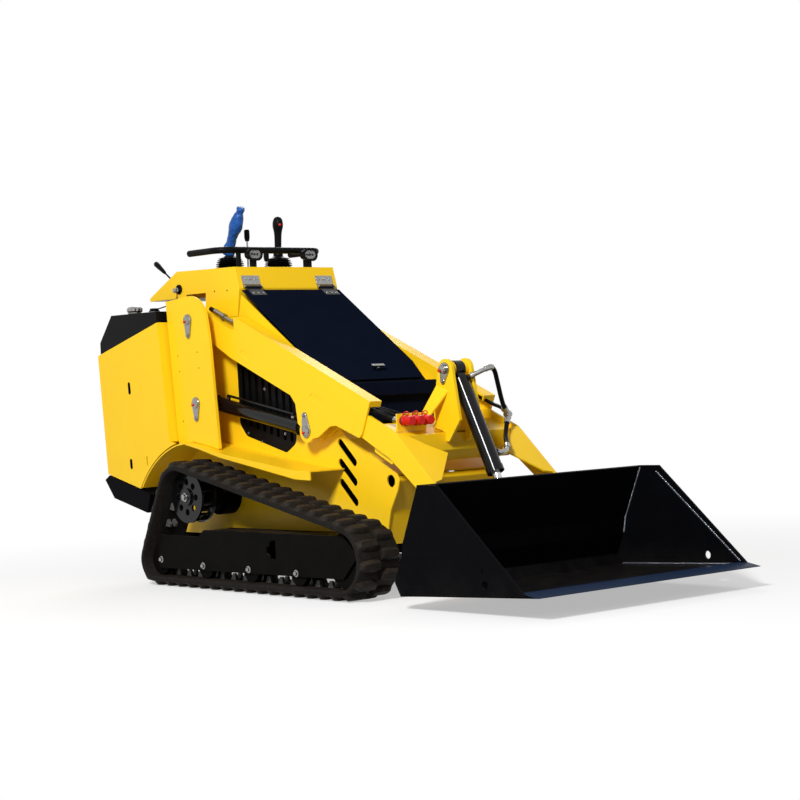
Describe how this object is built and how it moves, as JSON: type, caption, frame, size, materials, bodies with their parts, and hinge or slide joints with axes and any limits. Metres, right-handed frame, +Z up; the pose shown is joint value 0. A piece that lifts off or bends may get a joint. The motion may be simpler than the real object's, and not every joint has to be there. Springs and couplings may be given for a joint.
{
  "type": "skid steer loader",
  "caption": "Compact tracked skid steer loader: lugged rubber tracks, lift arms on rear towers, bent front legs and a wide bucket on one tilt cylinder.",
  "frame": {"origin": "ground level under the middle of the machine, at the bottom centre of its bounding box", "axes": "+X forward to the bucket, +Y to the machine's left, +Z up"},
  "size_m": [2.642, 1.064, 1.477],
  "materials": {
    "machine_yellow": "gloss",
    "gloss_black": "gloss",
    "frame_black": "satin",
    "black_plastic": "matt",
    "track_rubber": "matt",
    "engine_iron": "matt",
    "pin_steel": "satin",
    "cylinder_black": "gloss",
    "rod_chrome": "polished",
    "coupler_red": "satin"
  },
  "bodies": {
    "chassis": {"belly_plate": "frame_black", "console": "machine_yellow", "control_boots": "black_plastic", "drive_motors": "frame_black", "engine_block": "engine_iron", "fenders": "machine_yellow", "front_apron": "machine_yellow", "front_cover": "gloss_black", "grilles": "black_plastic", "handlebar": "black_plastic", "hinge_brackets": "pin_steel", "joysticks": "black_plastic", "levers": "black_plastic", "nose_plate": "machine_yellow", "rear_bumper": "gloss_black", "rear_cover": "gloss_black", "rear_panel_left": "machine_yellow", "rear_panel_right": "machine_yellow", "rollers": "frame_black", "side_plate_left": "machine_yellow", "side_plate_right": "machine_yellow", "sprockets": "frame_black", "tank": "black_plastic", "tank_caps": "pin_steel", "tower_left": "machine_yellow", "tower_pins": "pin_steel", "tower_right": "machine_yellow", "track_frame_left": "frame_black", "track_frame_right": "frame_black", "track_left": "track_rubber", "track_right": "track_rubber", "work_lamps": "black_plastic"},
    "boom": {"arm_right": "machine_yellow", "arm_left": "machine_yellow", "leg_right": "machine_yellow", "leg_left": "machine_yellow", "cross_beam": "machine_yellow", "tilt_bracket": "machine_yellow", "tilt_pin": "pin_steel", "lift_lug_keepers": "pin_steel", "coupler_caps": "coupler_red", "coupler_bracket": "machine_yellow", "coupler_hoses": "black_plastic", "tilt_hoses": "black_plastic"},
    "bucket": {"bucket": "gloss_black", "attachment_plate": "gloss_black", "bucket_pins": "pin_steel"},
    "lift_barrel_right": {"lift_barrel_right": "cylinder_black"},
    "lift_barrel_left": {"lift_barrel_left": "cylinder_black"},
    "lift_rod_right": {"lift_rod_right": "rod_chrome"},
    "lift_rod_left": {"lift_rod_left": "rod_chrome"},
    "tilt_barrel": {"tilt_barrel": "cylinder_black"},
    "tilt_rod": {"tilt_rod": "rod_chrome"},
    "hood": {"hood": "gloss_black", "hood_hinges": "pin_steel", "hood_latch": "pin_steel"}
  },
  "joints": [
    {"name": "boom_lift", "type": "hinge", "parent": "chassis", "child": "boom", "pos_m": [-0.721, 0, 1.02], "axis": [0, -1, 0], "range_deg": [0, 65]},
    {"name": "bucket_tilt", "type": "hinge", "parent": "boom", "child": "bucket", "pos_m": [0.613, 0, 0.15], "axis": [0, 1, 0], "range_deg": [-15, 100]},
    {"name": "hood_open", "type": "hinge", "parent": "chassis", "child": "hood", "pos_m": [-0.532, 0, 1.139], "axis": [0, -1, 0], "range_deg": [0, 60]},
    {"name": "lift_barrel_turn_right", "type": "hinge", "parent": "chassis", "child": "lift_barrel_right", "pos_m": [-0.689, -0.2745, 0.698], "axis": [0, -1, 0], "range_deg": [-0.5, 61.5]},
    {"name": "lift_rod_slide_right", "type": "slide", "parent": "lift_barrel_right", "child": "lift_rod_right", "axis": [0.9827, 0, -0.185], "range_m": [-0.005, 0.355]},
    {"name": "lift_barrel_turn_left", "type": "hinge", "parent": "chassis", "child": "lift_barrel_left", "pos_m": [-0.689, 0.2745, 0.698], "axis": [0, -1, 0], "range_deg": [-0.5, 61.5]},
    {"name": "lift_rod_slide_left", "type": "slide", "parent": "lift_barrel_left", "child": "lift_rod_left", "axis": [0.9827, 0, -0.185], "range_m": [-0.005, 0.355]},
    {"name": "tilt_barrel_turn", "type": "hinge", "parent": "boom", "child": "tilt_barrel", "pos_m": [0.411, 0, 0.786], "axis": [0, -1, 0], "range_deg": [-3, 3]},
    {"name": "tilt_rod_slide", "type": "slide", "parent": "tilt_barrel", "child": "tilt_rod", "axis": [0.4508, 0, -0.8926], "range_m": [-0.06, 0.26]}
  ],
  "couplings": [
    {"joint": "lift_barrel_turn_right", "follows": "boom_lift", "ratio": 0.9382},
    {"joint": "lift_rod_slide_right", "follows": "boom_lift", "m_per_rad": 0.3054},
    {"joint": "lift_barrel_turn_left", "follows": "boom_lift", "ratio": 0.9382},
    {"joint": "lift_rod_slide_left", "follows": "boom_lift", "m_per_rad": 0.3054},
    {"joint": "tilt_barrel_turn", "follows": "bucket_tilt", "ratio": 0.0176},
    {"joint": "tilt_rod_slide", "follows": "bucket_tilt", "m_per_rad": 0.1297}
  ]
}
